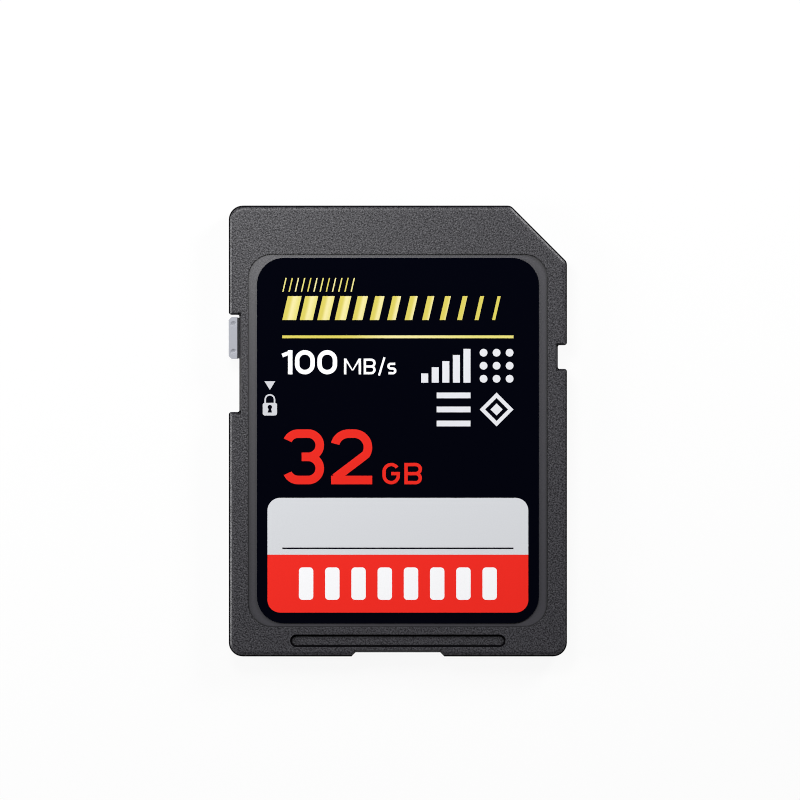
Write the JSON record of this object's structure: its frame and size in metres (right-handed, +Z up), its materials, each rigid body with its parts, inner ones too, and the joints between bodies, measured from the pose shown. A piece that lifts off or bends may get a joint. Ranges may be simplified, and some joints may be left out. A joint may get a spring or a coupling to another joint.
{
  "type": "memory card",
  "caption": "Flat rectangular full-size memory card with a cut corner, edge notches, a row of gold contacts on its back, a printed label and a sliding write-protect switch.",
  "frame": {"origin": "centre of the card's outline on the surface that it lies on, at the level of its back face", "axes": "+X across the card towards the cut corner and the latch notch, +Y towards the contact end, +Z up through the label"},
  "size_m": [0.024, 0.032, 0.0021],
  "materials": {
    "housing_plastic": "fine spark-eroded grain",
    "slider_plastic": "smooth moulded",
    "label_film": "smooth film",
    "back_label_film": "satin film",
    "grey_ink": "satin ink",
    "red_ink": "smooth ink",
    "gold_ink": "gold ink",
    "white_ink": "smooth ink",
    "board_laminate": "solder mask over glass laminate",
    "gold_plating": "hard gold plating",
    "package_resin": "moulded resin",
    "capacitor_ceramic": "fired ceramic with tinned ends",
    "resistor_ceramic": "fired ceramic with tinned ends"
  },
  "bodies": {
    "card": {"back_shell": "housing_plastic", "circuit_board": "board_laminate", "contact_pad_1": "gold_plating", "contact_pad_2": "gold_plating", "contact_pad_3": "gold_plating", "contact_pad_4": "gold_plating", "contact_pad_5": "gold_plating", "contact_pad_6": "gold_plating", "contact_pad_7": "gold_plating", "contact_pad_8": "gold_plating", "contact_pad_9": "gold_plating", "flash_memory": "package_resin", "memory_controller": "package_resin", "capacitor_1": "capacitor_ceramic", "capacitor_2": "capacitor_ceramic", "capacitor_3": "capacitor_ceramic", "capacitor_4": "capacitor_ceramic", "resistor_1": "resistor_ceramic", "resistor_2": "resistor_ceramic", "resistor_3": "resistor_ceramic", "resistor_4": "resistor_ceramic", "front_shell": "housing_plastic", "front_label": "label_film", "writing_panel": "grey_ink", "red_print": "red_ink", "gold_print": "gold_ink", "white_print": "white_ink", "back_label": "back_label_film"},
    "lock": {"lock_slider": "slider_plastic"}
  },
  "joints": [
    {"name": "lock_slide", "type": "slide", "parent": "card", "child": "lock", "axis": [0, -1, 0], "range_m": [0, 0.0036]}
  ]
}
